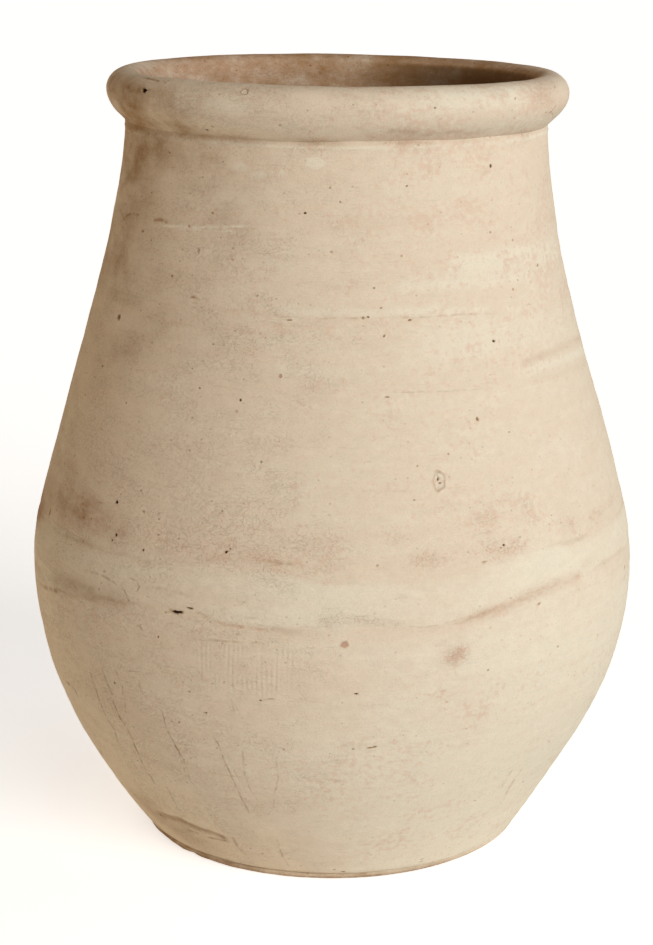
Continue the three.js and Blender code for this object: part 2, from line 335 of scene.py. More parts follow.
class JarShape(bpy.types.PropertyGroup):
    """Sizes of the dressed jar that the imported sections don't give."""

    neck_radius: bpy.props.FloatProperty(
        name="Neck radius", description="Outside radius at the groove under the rim",
        default=0.161, unit="LENGTH",
    )
    wall: bpy.props.FloatProperty(
        name="Wall", description="Thickness of the wall", default=0.014, unit="LENGTH",
    )
    belly_drop: bpy.props.FloatProperty(
        name="Belly drop", description="How far the widest level lies below the band",
        default=0.015, unit="LENGTH",
    )
    shoulder_pull: bpy.props.FloatProperty(
        name="Shoulder pull", description="Share of the upper height that stays near the belly's width",
        default=0.2,
    )
    neck_pull: bpy.props.FloatProperty(
        name="Neck pull", description="Share of the upper height that stays near the neck's width",
        default=0.35,
    )
    neck_flare: bpy.props.FloatProperty(
        name="Neck flare", description="Share of the draw-in that is left at the foot of the neck",
        default=0.075,
    )
    rim_full: bpy.props.FloatProperty(
        name="Rim's fullest level", description="As a share of the rim's height", default=0.62,
    )
    rim_crest: bpy.props.FloatProperty(
        name="Rim's crest", description="Its place across the lip, from the mouth outwards", default=0.5,
    )
    rim_under: bpy.props.FloatProperty(
        name="Rim's underside", description="Where the roll's arc starts at the groove",
        default=math.radians(52), subtype="ANGLE",
    )
    foot_lip: bpy.props.FloatProperty(
        name="Foot lip", description="How far the foot's edge has spread past the slab",
        default=0.0018, unit="LENGTH",
    )
    lean: bpy.props.FloatProperty(
        name="Lean", description="How far the mouth has drifted to the right in drying",
        default=0.0045, unit="LENGTH",
    )
    dip_right: bpy.props.FloatProperty(
        name="Dip to the right", description="Fall of the rim towards the right, per metre", default=0.012,
    )
    dip_back: bpy.props.FloatProperty(
        name="Dip to the back", description="Fall of the rim towards the back, per metre", default=0.017,
    )
    flat_side: bpy.props.FloatProperty(
        name="Flat side", description="Depth of the flat on the right of the bowl",
        default=0.0032, unit="LENGTH",
    )
    dent_depth: bpy.props.FloatProperty(
        name="Dents", description="Depth of the wide, soft dents", default=0.0007, unit="LENGTH",
    )
    ridge_depth: bpy.props.FloatProperty(
        name="Throwing ridges", description="Depth of the ridges that the fingers left",
        default=0.0003, unit="LENGTH",
    )
    slip_lift: bpy.props.FloatProperty(
        name="Slip lift", description="How proud the slip over the belly joint stands",
        default=0.0004, unit="LENGTH",
    )


class JarFinish(bpy.types.PropertyGroup):
    """Colours of the fired clay and of what has settled on it."""

    clay: bpy.props.FloatVectorProperty(
        name="Clay", description="Buff body of the fired clay", subtype="COLOR",
        default=linear(224, 207, 184), min=0, max=1,
    )
    cream: bpy.props.FloatVectorProperty(
        name="Cream", description="Pale lime bloom and slip", subtype="COLOR",
        default=linear(229, 219, 198), min=0, max=1,
    )
    blush: bpy.props.FloatVectorProperty(
        name="Blush", description="Pinkish clay where the bloom is thin", subtype="COLOR",
        default=linear(217, 190, 167), min=0, max=1,
    )
    # Umber also colours the painted shade.
    umber: bpy.props.FloatVectorProperty(
        name="Umber", description="Brown grime in hollows and streaks", subtype="COLOR",
        default=linear(143, 103, 55), min=0, max=1,
    )
    # Soot also colours the deepest painted shadow, inside the mouth on the right and in the holes.
    soot: bpy.props.FloatVectorProperty(
        name="Soot", description="Nearly black floor of the small holes", subtype="COLOR",
        default=linear(44, 31, 20), min=0, max=1,
    )
    rust: bpy.props.FloatVectorProperty(
        name="Rust", description="Spots of burnt-out iron", subtype="COLOR",
        default=linear(168, 108, 84), min=0, max=1,
    )
    roughness: bpy.props.FloatProperty(
        name="Roughness", description="Roughness of the dry clay", default=0.9, min=0, max=1,
    )


class JarStage(bpy.types.PropertyGroup):
    """Camera, lamps and floor."""

    distance: bpy.props.FloatProperty(
        name="Distance", description="Camera's distance from the jar's axis", default=1.8, unit="LENGTH",
    )
    eye_level: bpy.props.FloatProperty(
        name="Eye level", description="Camera's height above the floor", default=0.767, unit="LENGTH",
    )
    pitch: bpy.props.FloatProperty(
        name="Pitch", description="How far the camera looks down", default=math.radians(15.1),
        subtype="ANGLE",
    )
    pan: bpy.props.FloatProperty(
        name="Pan", description="How far the camera looks past the axis to the left",
        default=math.radians(0.14), subtype="ANGLE",
    )
    focal: bpy.props.FloatProperty(
        name="Focal length", description="In pixels of the photograph's frame", default=2336,
    )
    sensor: bpy.props.FloatProperty(
        name="Sensor height", description="In millimetres", default=24,
    )
    key_light: bpy.props.FloatProperty(
        name="Key light", description="Strength of the large soft light at the front right", default=2.5,
    )
    side_light: bpy.props.FloatProperty(
        name="Side light", description="Strength of the light from the right and behind", default=0.74,
    )
    left_light: bpy.props.FloatProperty(
        name="Left light", description="Strength of the warm fill from the left", default=0.45,
    )
    bounce_light: bpy.props.FloatProperty(
        name="Bounce", description="Strength of the light thrown up from the floor at the left", default=1.0,
    )
    room_light: bpy.props.FloatProperty(
        name="Room light", description="Light that comes from all round", default=0.1,
    )
    floor_tone: bpy.props.FloatVectorProperty(
        name="Floor", description="Pale floor", subtype="COLOR",
        default=linear(234, 235, 236), min=0, max=1,
    )
    floor_glow: bpy.props.FloatProperty(
        name="Floor glow", description="Added to the floor as the camera sees it", default=0.62,
    )


def outside_curve(shape):
    """Heights and radii of the wall's outside, from the foot to the groove under the rim."""
    belly_level = BAND_LEVEL - shape.belly_drop
    share = np.linspace(0, 1, OUTLINE_STEPS)
    bowl_height = belly_level * share
    bowl_radius = BELLY_RADIUS - (BELLY_RADIUS - FOOT_RADIUS) * (1 - share) ** 2
    rise = RIM_LEVEL - belly_level
    draw_in = BELLY_RADIUS - shape.neck_radius
    pull_heights = (
        belly_level, belly_level + shape.shoulder_pull * rise, RIM_LEVEL - shape.neck_pull * rise, RIM_LEVEL,
    )
    pull_radii = (
        BELLY_RADIUS, BELLY_RADIUS, shape.neck_radius + shape.neck_flare * draw_in, shape.neck_radius,
    )
    weights = (
        (1 - share) ** 3, 3 * share * (1 - share) ** 2, 3 * share ** 2 * (1 - share), share ** 3,
    )
    upper_height = sum(weight * height for weight, height in zip(weights, pull_heights))
    upper_radius = sum(weight * radius for weight, radius in zip(weights, pull_radii))
    return np.append(bowl_height, upper_height[1:]), np.append(bowl_radius, upper_radius[1:])


def rim_curves(shape, steps):
    """Radii and heights of the roll's outside, from the groove to the crest, and of its lip inside."""
    full_level = RIM_LEVEL + shape.rim_full * (JAR_TOP - RIM_LEVEL)
    mouth_radius = shape.neck_radius - shape.wall
    crest_radius = mouth_radius + shape.rim_crest * (RIM_RADIUS - mouth_radius)
    start = shape.rim_under
    under = np.linspace(start, math.pi / 2, steps)
    quarter = np.linspace(0, math.pi / 2, steps)
    reach = (np.sin(under) - math.sin(start)) / (1 - math.sin(start))
    under_radius = shape.neck_radius + (RIM_RADIUS - shape.neck_radius) * reach
    under_height = full_level - (full_level - RIM_LEVEL) * np.cos(under) / math.cos(start)
    over_radius = crest_radius + (RIM_RADIUS - crest_radius) * np.cos(quarter)
    over_height = full_level + (JAR_TOP - full_level) * np.sin(quarter)
    lip_radius = crest_radius - (crest_radius - mouth_radius) * np.sin(quarter)
    lip_height = full_level + (JAR_TOP - full_level) * np.cos(quarter)
    outside = np.append(under_radius, over_radius[1:]), np.append(under_height, over_height[1:])
    return outside, (lip_radius, lip_height)


def fade(share):
    """A smooth step from 0 to 1."""
    share = np.clip(share, 0, 1)
    return share * share * (3 - 2 * share)


def bell(distance, width):
    """1 at no distance, falling smoothly to about a third at the width."""
    return np.exp(-(distance / width) ** 2)


def rightness(turn):
    """1 on the jar's right, 0 at its front and back, -1 on its left."""
    return np.cos(2 * math.pi * turn)


def wrapped(angle):
    """An angle brought between half a turn either way."""
    return np.mod(angle + math.pi, 2 * math.pi) - math.pi


def lean_at(shape, height):
    """Sideways drift of the axis: none below the shoulder, all of it at the rim."""
    rise = np.clip((height - LEAN_START * JAR_TOP) / ((1 - LEAN_START) * JAR_TOP), 0, 1)
    return shape.lean * rise ** LEAN_POWER


def dip_at(shape, across, away, height):
    """How far the wall has sunk near the rim, which tips to the right and to the back."""
    upper = fade((height - DIP_START * JAR_TOP) / (DIP_SPAN * JAR_TOP))
    return upper * (shape.dip_right * across + shape.dip_back * away)


def ring_noise(turn, along, patches, spacing, seed):
    """Smooth values from -1 to 1 on a wall: patches round the jar, and rows a spacing apart."""
    rows = int(1.2 / spacing) + 4
    lattice = np.random.default_rng(seed).uniform(-1, 1, (rows, patches))
    column = np.mod(turn, 1) * patches
    row = np.clip((along + 0.1) / spacing, 0, rows - 2)
    left = np.floor(column).astype(int)
    below = np.floor(row).astype(int)
    across = fade(column - left)
    up = fade(row - below)
    right = (left + 1) % patches
    left = left % patches
    low = lattice[below, left] * (1 - across) + lattice[below, right] * across
    high = lattice[below + 1, left] * (1 - across) + lattice[below + 1, right] * across
    return low * (1 - up) + high * up


class Lens:
    """The stage camera, as far as placing marks by their photo pixels needs it."""

    def __init__(self, stage, shape):
        self.stage = stage
        self.shape = shape
        self.eye = np.array([0, -stage.distance, stage.eye_level])
        self.turned = Euler((math.pi / 2 - stage.pitch, 0, stage.pan)).to_matrix()
        wall_height, wall_radius = outside_curve(shape)
        (roll_radius, roll_height), _ = rim_curves(shape, LENS_RIM_STEPS)
        self.heights = np.append(wall_height, roll_height[1:])
        self.radii = np.append(wall_radius, roll_radius[1:])

    def outside(self, height):
        return np.interp(height, self.heights, self.radii)

    def spot(self, pixel):
        """Angle and height on the jar's outside that the photo shows at a pixel."""
        sideways = (pixel[0] - PHOTO_WIDTH / 2) / self.stage.focal
        upward = (PHOTO_HEIGHT / 2 - pixel[1]) / self.stage.focal
        ray = np.array(self.turned @ Vector((sideways, upward, -1)).normalized())
        nearest, farthest, step = self.stage.distance - 0.3, self.stage.distance + 0.5, 0.2 * MM
        reach = np.arange(nearest, farthest, step)
        x, y, z = (self.eye + reach[:, None] * ray).T
        x = x - lean_at(self.shape, z)
        z = z + dip_at(self.shape, x, y, z)
        gap = np.hypot(x, y) - self.outside(z)
        inside = np.nonzero(gap < 0)[0]
        hit = inside[0] if len(inside) else int(np.argmin(gap))
        return math.atan2(y[hit], x[hit]), z[hit]

    def place(self, angle, height):
        """The point of the true round wall at an angle and height."""
        radius = float(self.outside(height))
        return np.array([radius * math.cos(angle), radius * math.sin(angle), height])


class Pit:
    """A small hole with a dark floor and a slightly raised lip. Its sizes are in metres."""

    fine = True
    raggedness = 1.0
    lip_share = 0.08
    # How dark a hole's floor is painted, darker as the hole is deeper: painted shade in the hole, with its
    # dirt
    least_dark = 0.35
    dark_per_depth = 0.6 / MM
    most_dark = 1.15

    def __init__(self, lens, spot, size, seed):
        angle, height = spot
        self.angle = angle
        self.width, self.height, self.depth = size
        self.radius = float(lens.outside(height))
        self.place = lens.place(angle, height)
        slope = float(lens.outside(height + MM) - lens.outside(height - MM)) / (2 * MM)
        up = np.array([slope * math.cos(angle), slope * math.sin(angle), 1])
        self.up = up / np.linalg.norm(up)
        self.reach = 0.75 * max(self.width, self.height) + 1.5 * MM
        rng = np.random.default_rng(seed)
        self.lobes = [(lobe, rng.uniform(0.05, 0.16), rng.uniform(0, 6.28)) for lobe in (2, 3, 5)]

    def near(self, base):
        return np.linalg.norm(base - self.place, axis=1) < self.reach

    def outward(self, angle, base):
        """Distance from the middle, where 1 is the ragged edge."""
        across = wrapped(angle - self.angle) * self.radius / (self.width / 2)
        up = ((base - self.place) @ self.up) / (self.height / 2)
        bearing = np.arctan2(up, across)
        waves = sum(amount * np.cos(lobe * bearing + shift) for lobe, amount, shift in self.lobes)
        edge = 1 + self.raggedness * waves
        return np.hypot(across, up) / edge

    def press(self, angle, base, cloth):
        out = self.outward(angle, base)
        cloth["relief"] -= self.depth * np.clip(1 - out ** 2, 0, 1) ** 0.6
        cloth["relief"] += self.lip_share * self.depth * bell(out - 1.25, 0.25)
        # Painted shade: the floor darkens with the hole's depth
        dark = min(self.most_dark, self.least_dark + self.dark_per_depth * self.depth)
        cloth["dirt"] = np.maximum(cloth["dirt"], dark * np.exp(-(out / 0.98) ** 6))


class Burst(Pit):
    """A spot where a grain in the clay has burst, or a wide tinted patch: a tinted dish with a dark edge."""

    raggedness = 0.5
    widest_fine = 20 * MM
    spot_edge = 0.35
    stain_edge = 0.8

    def __init__(self, lens, spot, size, seed, tints, edge_grime):
        super().__init__(lens, spot, size, seed)
        self.fine = max(self.width, self.height) < self.widest_fine
        self.tints = tints
        self.edge_grime = edge_grime

    def press(self, angle, base, cloth):
        out = self.outward(angle, base)
        inside = fade((1.05 - out) / (self.spot_edge if self.fine else self.stain_edge))
        cloth["relief"] -= self.depth * inside
        cloth["relief"] += 0.3 * abs(self.depth) * bell(out - 1.15, 0.2)
        for tint, amount in self.tints.items():
            cloth[tint] += amount * inside
        cloth["dirt"] += self.edge_grime * bell(out - 1.0, 0.15)


class Stroke:
    """A line, a scratch or a smear along points of the wall. Its sizes are in metres."""

    widest_fine = 4 * MM
    wave_steps = (5 * MM, 2.2 * MM, 1.1 * MM)

    def __init__(self, lens, spots, width, depth, tints, seed):
        self.width = width
        self.depth = depth
        self.tints = tints
        self.fine = width < self.widest_fine
        self.reach = 1.2 * width + 2 * MM
        self.points = np.array([lens.place(*spot) for spot in spots])
        self.low = self.points.min(0) - 2 * self.reach
        self.high = self.points.max(0) + 2 * self.reach
        self.length = np.linalg.norm(np.diff(self.points, axis=0), axis=1).sum()
        self.waves = np.random.default_rng(seed).uniform(0, 6.28, 3)

    def measured(self, base):
        """Distance from the stroke, and the place along it from 0 to 1."""
        start = self.points[:-1]
        step = np.diff(self.points, axis=0)
        offset = base[:, None] - start
        share = np.clip((offset * step).sum(2) / (step ** 2).sum(1), 0, 1)
        away = np.linalg.norm(offset - share[..., None] * step, axis=2)
        nearest = away.argmin(1)
        rows = np.arange(len(base))
        return away[rows, nearest], (nearest + share[rows, nearest]) / len(start)

    def near(self, base):
        found = ((base > self.low) & (base < self.high)).all(1)
        if found.any():
            found[found] = self.measured(base[found])[0] < (self.reach if self.fine else 2 * self.reach)
        return found

    def press(self, angle, base, cloth):
        away, along = self.measured(base)
        strength = 1
        if self.fine:
            turns = zip(self.wave_steps, self.waves)
            waves = sum(np.sin(along * self.length / step + shift) for step, shift in turns)
            ends = np.clip(8 * np.minimum(along, 1 - along) + 0.35, 0, 1)
            strength = ends * np.clip(0.75 + 0.3 * waves, 0.05, 1.2)
        mask = strength * bell(away, self.width / 2)
        cloth["relief"] -= self.depth * mask
        if self.fine:
            cloth["relief"] += 0.25 * self.depth * strength * bell(away - 0.9 * self.width, 0.35 * self.width)
        for tint, amount in self.tints.items():
            cloth[tint] += amount * mask


class Comb:
    """A patch of fine upright strokes, as a comb or a stiff brush leaves them."""

    fine = True
    tooth_step = 3.6 * MM
    tooth_depth = 0.13 * MM

    def __init__(self, lens, spot, width, height):
        angle, level = spot
        self.angle = angle
        self.radius = float(lens.outside(level))
        self.place = lens.place(angle, level)
        self.width = width
        self.height = height

    def inside(self, angle, base):
        across = wrapped(angle - self.angle) * self.radius
        up = base[:, 2] - self.place[2]
        return across, up, fade(3 - 6 * np.abs(across) / self.width) * fade(3 - 6 * np.abs(up) / self.height)

    def near(self, base):
        angle = np.arctan2(base[:, 1], base[:, 0])
        return self.inside(angle, base)[2] > 0

    def press(self, angle, base, cloth):
        across, up, mask = self.inside(angle, base)
        turn = angle / (2 * math.pi)
        drift = 1.4 * MM * ring_noise(turn, up, 70, 0.03, 31)
        tooth = np.cos(2 * math.pi * (across + drift) / self.tooth_step)
        broken = fade(0.4 + 1.2 * ring_noise(turn, up, 260, 0.009, 32))
        cut = mask * broken * np.clip(tooth - 0.2, 0, 1) / 0.8
        cloth["relief"] -= self.tooth_depth * cut
        cloth["dirt"] += 0.16 * cut
        cloth["bloom"] += 0.3 * mask * broken * np.clip(-tooth, 0, 1)


class Course:
    """A line round the jar, through photo pixels at the front and level at the back."""

    def __init__(self, lens, pixels):
        spots = [lens.spot(pixel) for pixel in pixels]
        self.turns = np.array([np.mod(angle / (2 * math.pi), 1) for angle, _ in spots])
        self.heights = np.array([height for _, height in spots])

    def height_at(self, turn):
        wave = 1.5 * MM * ring_noise(turn, 0 * turn, 31, 0.1, 41)
        return np.interp(np.mod(turn, 1), self.turns, self.heights, period=1) + wave


def seen_marks(lens):
    """The marks that the photo shows, in a fixed order."""
    marks = []
    for seed, (pixel, *size) in enumerate(PITS.values()):
        marks.append(Pit(lens, lens.spot(pixel), [MM * length for length in size], seed))
    for seed, (pixel, width, height, depth, tints, edge_grime) in enumerate(BURSTS.values()):
        size = [MM * width, MM * height, MM * depth]
        marks.append(Burst(lens, lens.spot(pixel), size, 100 + seed, tints, edge_grime))
    for seed, (pixels, width, depth, tints) in enumerate(STROKES.values()):
        track = winding(np.array(pixels, float), 200 + seed)
        spots = [lens.spot(pixel) for pixel in track]
        marks.append(Stroke(lens, spots, width * MM, depth * MM, tints, 300 + seed))
    pixel, width, height = COMB
    marks.append(Comb(lens, lens.spot(pixel), width * MM, height * MM))
    return marks


def winding(track, seed):
    """A line of pixels, cut into short steps that stray a little."""
    lengths = np.append(0, np.cumsum(np.linalg.norm(np.diff(track, axis=0), axis=1)))
    at = np.linspace(0, lengths[-1], max(3, int(lengths[-1] / 6) + 1))
    points = np.stack([np.interp(at, lengths, track[:, 0]), np.interp(at, lengths, track[:, 1])], 1)
    points[1:-1] += np.random.default_rng(seed).normal(0, 0.35, points[1:-1].shape)
    return points


def hidden_marks(lens):
    """Marks like those of the front, scattered over the side that the photo doesn't show."""
    rng = np.random.default_rng(7)
    marks = []
    for number in range(HIDDEN_PITS):
        spot = rng.uniform(0.05, 0.95) * math.pi, rng.uniform(0.03, 0.55)
        size = rng.uniform(1.4, 3.6) * MM, rng.uniform(1.2, 2.6) * MM, rng.uniform(0.6, 1.3) * MM
        marks.append(Pit(lens, spot, size, 400 + number))
    for number in range(HIDDEN_SMEARS):
        angle, height = rng.uniform(0.1, 0.9) * math.pi, rng.uniform(0.04, 0.52)
        length, slant = rng.uniform(0.05, 0.25), rng.uniform(-0.03, 0.03)
        spots = [(angle + length * share, height + slant * share) for share in np.linspace(0, 1, 9)]
        tint = ("bloom", "blush", "dirt")[number % 3]
        amount = (0.7, 0.6, 0.2)[number % 3]
        marks.append(Stroke(lens, spots, rng.uniform(5, 22) * MM, 0, {tint: amount}, 500 + number))
    for number in range(HIDDEN_SCRATCHES):
        angle, height = rng.uniform(0.1, 0.9) * math.pi, rng.uniform(0.05, 0.3)
        slant = rng.uniform(-0.08, 0.08)
        spots = [(angle + slant * share, height - 0.05 * share) for share in np.linspace(0, 1, 9)]
        marks.append(Stroke(lens, spots, 1.5 * MM, 0.4 * MM, {"dirt": 0.45}, 600 + number))
    return marks


class Rows:
    """The outline of a section as rows of points, which are swept round the axis."""

    OUTSIDE, INSIDE, JOINT = 0, 1, 2

    def __init__(self, closed=True):
        self.closed = closed
        self.radius = []
        self.height = []
        self.out_radius = []
        self.out_height = []
        self.inward = []
        self.zone = []

    def stretch(self, radius, height, spacing, zone, inward=(0, 0)):
        """Adds a stretch along a line of points, with rows a spacing apart."""
        radius = np.asarray(radius, float)
        height = np.asarray(height, float)
        steps = np.hypot(np.diff(radius), np.diff(height))
        length = np.append(0, np.cumsum(steps))
        count = max(1, int(round(length[-1] / spacing)))
        at = np.linspace(0, length[-1], count + 1)
        row_radius = np.interp(at, length, radius)
        row_height = np.interp(at, length, height)
        out_radius = np.gradient(row_height, at)
        out_height = -np.gradient(row_radius, at)
        if self.radius:
            if zone == self.OUTSIDE and self.zone[-1] != self.OUTSIDE:
                self.out_radius[-1] = out_radius[0]
                self.out_height[-1] = out_height[0]
            at = at[1:]
            row_radius = row_radius[1:]
            row_height = row_height[1:]
            out_radius = out_radius[1:]
            out_height = out_height[1:]
        self.radius += list(row_radius)
        self.height += list(row_height)
        self.out_radius += list(out_radius)
        self.out_height += list(out_height)
        self.inward += list(np.interp(at, (0, length[-1]), inward))
        self.zone += [zone] * count

    def arrays(self):
        """Radius, height, outward direction and inwardness of every row."""
        if self.closed:
            self.out_radius[-1] = self.out_radius[0]
            self.out_height[-1] = self.out_height[0]
        rows = (self.radius, self.height, self.out_radius, self.out_height, self.inward)
        return [np.array(values) for values in rows]


def flat_sheet(columns, row_count, base_at, marks):
    """A flat sheet of cells, cut finer where small marks lie. x is the turn, y the row."""
    across, up = np.meshgrid(np.arange(columns + 1), np.arange(row_count + 1))
    points = np.stack([across.ravel() / columns, up.ravel(), np.zeros(across.size)], 1)
    first = (np.arange(row_count)[:, None] * (columns + 1) + np.arange(columns)[None, :]).ravel()
    cells = np.stack([first, first + 1, first + columns + 2, first + columns + 1], 1)
    mesh = bpy.data.meshes.new("sheet")
    mesh.from_pydata(points.tolist(), [], cells.tolist())
    sheet = bmesh.new()
    sheet.from_mesh(mesh)
    bpy.data.meshes.remove(mesh)
    base = base_at(points[:, 0], points[:, 1])
    touched = np.zeros(len(points), bool)
    for mark in marks:
        if mark.fine:
            touched |= mark.near(base)
    inner = np.ones((row_count, columns), bool)
    inner[0] = inner[-1] = False
    inner[:, 0] = inner[:, -1] = False
    sheet.faces.ensure_lookup_table()
    chosen = np.nonzero(touched[cells].any(1) & inner.ravel())[0]
    edges = {edge for index in chosen for edge in sheet.faces[index].edges}
    if edges:
        bmesh.ops.subdivide_edges(
            sheet, edges=list(edges), cuts=FINE_CUTS, use_grid_fill=True, use_single_edge=True,
        )
    return sheet


def panel_map(turn, row, row_lengths, rows, panels):
    """Lays the outside in stacked panels, and the inside and the joints in strips above them."""
    zone = np.array(rows.zone)
    margin = 0.004
    inside_share = 0.13
    joint_share = 0.05
    cell = np.clip(np.floor(row.mean(1) + 1e-6).astype(int), 0, len(zone) - 1)
    face_zone = zone[cell]
    panel = np.clip((turn.mean(1) * panels).astype(int), 0, panels - 1)
    place = np.zeros(turn.shape + (2,))
    for which in (Rows.OUTSIDE, Rows.INSIDE, Rows.JOINT):
        lengths = np.where(zone == which, row_lengths, 0)
        total = max(lengths.sum(), 1e-9)
        reach = np.append(0, np.cumsum(lengths)) / total
        picked = face_zone == which
        low = np.interp(row[picked], np.arange(len(reach)), reach)
        if which == Rows.OUTSIDE:
            step = (1 - inside_share - joint_share) / panels
            at = panel[picked][:, None]
            place[picked, :, 0] = margin + (turn[picked] * panels - at) * (1 - 2 * margin)
            place[picked, :, 1] = at * step + margin + low * (step - 2 * margin)
        else:
            start = 1 - joint_share - inside_share if which == Rows.INSIDE else 1 - joint_share
            step = inside_share if which == Rows.INSIDE else joint_share
            place[picked, :, 0] = margin + turn[picked] * (1 - 2 * margin)
            place[picked, :, 1] = start + margin + low * (step - 2 * margin)
    return place


# The dirt channel also carries painted shade, and the bloom channel also carries painted light and a painted
# highlight.
TINTS = ("dirt", "bloom", "blush", "rust", "wear")

# The most dirt and painted shade outside a pit, where the clay is brown but not yet black
SURFACE_DIRT_AND_SHADE = 0.7


def press_marks(marks, angle, base, outer, cloth):
    """Presses marks into the outside, one after another, where they lie."""
    for mark in marks:
        near = mark.near(base) & outer
        if near.any():
            part = {key: values[near] for key, values in cloth.items()}
            mark.press(angle[near], base[near], part)
            for key in cloth:
                cloth[key][near] = part[key]


def lay_out(mesh, turn, row, rows, panels):
    """Writes the layout that the section's colours are baked in."""
    corner = np.zeros(len(mesh.loops), int)
    mesh.loops.foreach_get("vertex_index", corner)
    starts = np.zeros(len(mesh.polygons), int)
    totals = np.zeros(len(mesh.polygons), int)
    mesh.polygons.foreach_get("loop_start", starts)
    mesh.polygons.foreach_get("loop_total", totals)
    row_lengths = np.hypot(np.diff(rows.radius), np.diff(rows.height))
    places = np.zeros((len(corner), 2))
    for total in np.unique(totals):
        loops = starts[totals == total][:, None] + np.arange(total)[None, :]
        places[loops] = panel_map(turn[corner[loops]], row[corner[loops]], row_lengths, rows, panels)
    mesh.uv_layers["OFBake"].data.foreach_set("uv", places.ravel())


def swept_section(name, rows, marks, relief, panels, start):
    """One closed body: the rows swept round the axis, pressed with relief and marks."""
    shape = bpy.context.scene.jar_shape
    radius, height, out_radius, out_height, inward = rows.arrays()
    index = np.arange(len(radius))

    def base_at(turn, row):
        angle = 2 * math.pi * (turn + start)
        reach = np.interp(row, index, radius)
        return np.stack([reach * np.cos(angle), reach * np.sin(angle), np.interp(row, index, height)], 1)

    near_height = [mark for mark in marks if mark.near(base_at(*coarse_grid(len(radius)))).any()]
    sheet = flat_sheet(COLUMNS, len(radius) - 1, base_at, near_height)
    flat = np.array([vertex.co for vertex in sheet.verts])
    turn, row = flat[:, 0], flat[:, 1]
    angle = 2 * math.pi * (turn + start)
    base = base_at(turn, row)
    depth_in = np.interp(row, index, inward)
    cloth = {key: np.zeros(len(turn)) for key in ("relief",) + TINTS}
    relief(angle / (2 * math.pi), base, depth_in, cloth)
    outer = depth_in < 0.5
    press_marks([mark for mark in near_height if type(mark) is not Pit], angle, base, outer, cloth)
    cloth["dirt"] = np.where(outer, np.minimum(cloth["dirt"], SURFACE_DIRT_AND_SHADE), cloth["dirt"])
    press_marks([mark for mark in near_height if type(mark) is Pit], angle, base, outer, cloth)
    reach = np.hypot(base[:, 0], base[:, 1]) + cloth["relief"] * np.interp(row, index, out_radius)
    level = base[:, 2] + cloth["relief"] * np.interp(row, index, out_height)
    across = reach * np.cos(angle)
    away = reach * np.sin(angle)
    points = np.stack([across + lean_at(shape, level), away, level - dip_at(shape, across, away, level)], 1)

    mesh = bpy.data.meshes.new(name)
    sheet.loops.layers.uv.new("OFBake")
    sheet.to_mesh(mesh)
    sheet.free()
    lay_out(mesh, turn, row, rows, panels)
    mesh.vertices.foreach_set("co", points.ravel())
    for key in TINTS:
        attribute = mesh.attributes.new(key, "FLOAT", "POINT")
        attribute.data.foreach_set("value", cloth[key])
    weld(mesh)
    mesh.polygons.foreach_set("use_smooth", np.ones(len(mesh.polygons), bool))
    mesh.set_sharp_from_angle(angle=SHARP_ANGLE)
    piece = bpy.data.objects.new(name, mesh)
    bpy.context.scene.collection.objects.link(piece)
    return piece


def coarse_grid(row_count):
    """Turns and rows of every cell's corner."""
    turn, row = np.meshgrid(np.arange(COLUMNS) / COLUMNS, np.arange(row_count))
    return turn.ravel(), row.ravel()


def weld(mesh):
    """Joins the sheet's edges, and sees that the faces point out."""
    body = bmesh.new()
    body.from_mesh(mesh)
    bmesh.ops.remove_doubles(body, verts=body.verts, dist=WELD_GAP)
    bmesh.ops.recalc_face_normals(body, faces=body.faces)
    body.to_mesh(mesh)
    body.free()
    mesh.update()


def inside_shade_and_grime(turn, depth_in, cloth):
    """Painted shade inside the mouth, with grime: the inside is painted browner than the outside, and darkest
    on the right, where the inside lies in shadow.
    """
    rightward = rightness(turn)
    depth_in = fade(1.6 * depth_in)
    cloth["dirt"] *= 1 - depth_in
    # Painted shade: darker inside, darkest on the right, in the key lamp's shadow
    cloth["dirt"] += depth_in * (0.56 + 0.34 * fade(0.5 + 0.8 * rightward))
    cloth["wear"] += 0.8 * depth_in
    cloth["rust"] += 0.26 * depth_in * fade(0.3 - 0.8 * rightward)
    cloth["blush"] += 0.9 * depth_in


def weathering(turn, height, cloth):
    """Rough grain, grime and painted shade, strongest on the left and round the rim."""
    leftward = fade(0.5 - 0.8 * rightness(turn))
    upper = fade((height - 0.86 * JAR_TOP) / (0.12 * JAR_TOP))
    clouds = 0.5 + ring_noise(turn, height, 19, 0.035, 52) + 0.5 * ring_noise(turn, height, 61, 0.012, 53)
    cloth["wear"] += 0.15 + 0.75 * leftward + 0.45 * upper * (1 - 0.6 * leftward)
    high = fade((height - 0.6 * JAR_TOP) / (0.3 * JAR_TOP))
    low = fade((0.45 * JAR_TOP - height) / (0.15 * JAR_TOP))
    cloth["bloom"] += 0.5 * low * fade(0.4 + 0.8 * rightness(turn))
    # Painted shade on the jar's dark left side and its upper left, with grime in clouds
    above_belly = fade((height - 0.38 * JAR_TOP) / (0.1 * JAR_TOP))
    far_left = fade(-1.8 * rightness(turn) - 0.8) * above_belly
    grime_and_shade = (0.05 + 0.1 * high) * leftward ** 2 + (0.1 + 0.16 * high) * far_left
    cloth["dirt"] += grime_and_shade * np.clip(clouds, 0.4, 1.4)
    cloth["blush"] += 0.26 * high * (1 - leftward)


